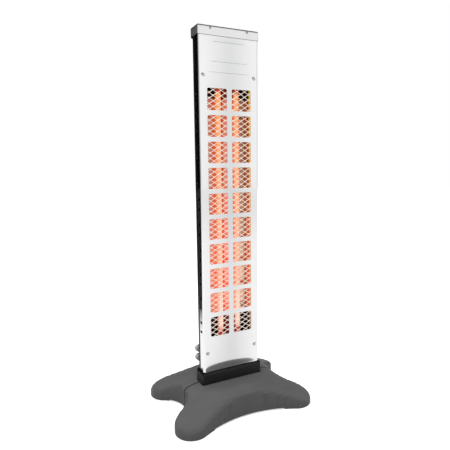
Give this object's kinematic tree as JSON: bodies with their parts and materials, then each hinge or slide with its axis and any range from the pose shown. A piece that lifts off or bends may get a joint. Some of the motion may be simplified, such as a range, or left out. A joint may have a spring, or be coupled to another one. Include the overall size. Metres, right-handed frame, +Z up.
{
  "type": "infrared patio heater tower",
  "caption": "Free-standing infrared heater tower: slim steel housing with upright quartz tubes behind a windowed guard, push switches at the rear, on a lobed plastic foot.",
  "frame": {"origin": "on the floor, at the centre of the foot, in the plane where its two halves meet", "axes": "+Z up, the heated front faces -Y, +X is to the right of a viewer who faces the heated front; the push switches are on the -X, +Y bevel"},
  "size_m": [0.478, 0.354, 1.2045],
  "materials": {
    "foot_plastic": "satin moulded plastic, dark grey",
    "foot_rubber": "plain black rubber",
    "zinc_steel": "zinc-plated steel",
    "collar_plastic": "satin moulded plastic, near black",
    "polished_steel": "polished stainless steel",
    "black_paint": "satin black powder coat",
    "cap_steel": "polished stainless steel",
    "screw_steel": "stainless pan-head screws",
    "mesh_steel": "expanded steel mesh, warmed by the tubes behind it",
    "reflector_sheet": "bright reflector sheet, tinted gold",
    "quartz": "clear quartz tube, glowing warm",
    "glowing_coil": "resistance coil at orange heat",
    "ceramic": "glazed white ceramic",
    "blade_brass": "tinned brass blade",
    "switch_plastic": "black moulded plastic",
    "bezel_plastic": "grey moulded ring",
    "button_rubber": "grey moulded rubber boot",
    "block_plastic": "white moulded plastic",
    "gland_plastic": "black moulded plastic"
  },
  "bodies": {
    "heater": {"foot_front_half": "foot_plastic", "foot_rear_half": "foot_plastic", "foot_pads": "foot_rubber", "seam_screws": "zinc_steel", "seam_nuts": "zinc_steel", "tie_plate": "zinc_steel", "collar": "collar_plastic", "bottom_plate": "zinc_steel", "anchor_bolts": "zinc_steel", "anchor_nuts": "zinc_steel", "front_panel": "polished_steel", "rear_cover": "black_paint", "top_cap": "cap_steel", "panel_screws": "screw_steel", "cap_screws": "screw_steel", "rear_screws": "screw_steel", "guard_mesh": "mesh_steel", "lower_bracket": "zinc_steel", "upper_bracket": "zinc_steel", "reflector": "reflector_sheet", "heating_tube_left": "quartz", "heating_tube_right": "quartz", "heating_coil_left": "glowing_coil", "heating_coil_right": "glowing_coil", "ceramic_cap_lower_left": "ceramic", "ceramic_cap_lower_right": "ceramic", "ceramic_cap_upper_left": "ceramic", "ceramic_cap_upper_right": "ceramic", "terminal_blade_lower_left": "blade_brass", "terminal_blade_lower_right": "blade_brass", "terminal_blade_upper_left": "blade_brass", "terminal_blade_upper_right": "blade_brass", "switch_body_lower": "switch_plastic", "switch_body_upper": "switch_plastic", "switch_bezel_lower": "bezel_plastic", "switch_bezel_upper": "bezel_plastic", "terminal_block": "block_plastic", "tilt_switch": "switch_plastic", "cable_gland": "gland_plastic", "gland_nut": "gland_plastic"},
    "lower_button": {"switch_button_lower": "button_rubber", "switch_plunger_lower": "switch_plastic"},
    "upper_button": {"switch_button_upper": "button_rubber", "switch_plunger_upper": "switch_plastic"}
  },
  "joints": [
    {"name": "lower_switch_press", "type": "slide", "parent": "heater", "child": "lower_button", "axis": [0.7071, -0.7071, 0], "range_m": [0, 0.003], "stiffness_N_per_m": 600, "springref_m": -0.002},
    {"name": "upper_switch_press", "type": "slide", "parent": "heater", "child": "upper_button", "axis": [0.7071, -0.7071, 0], "range_m": [0, 0.003], "stiffness_N_per_m": 600, "springref_m": -0.002}
  ]
}
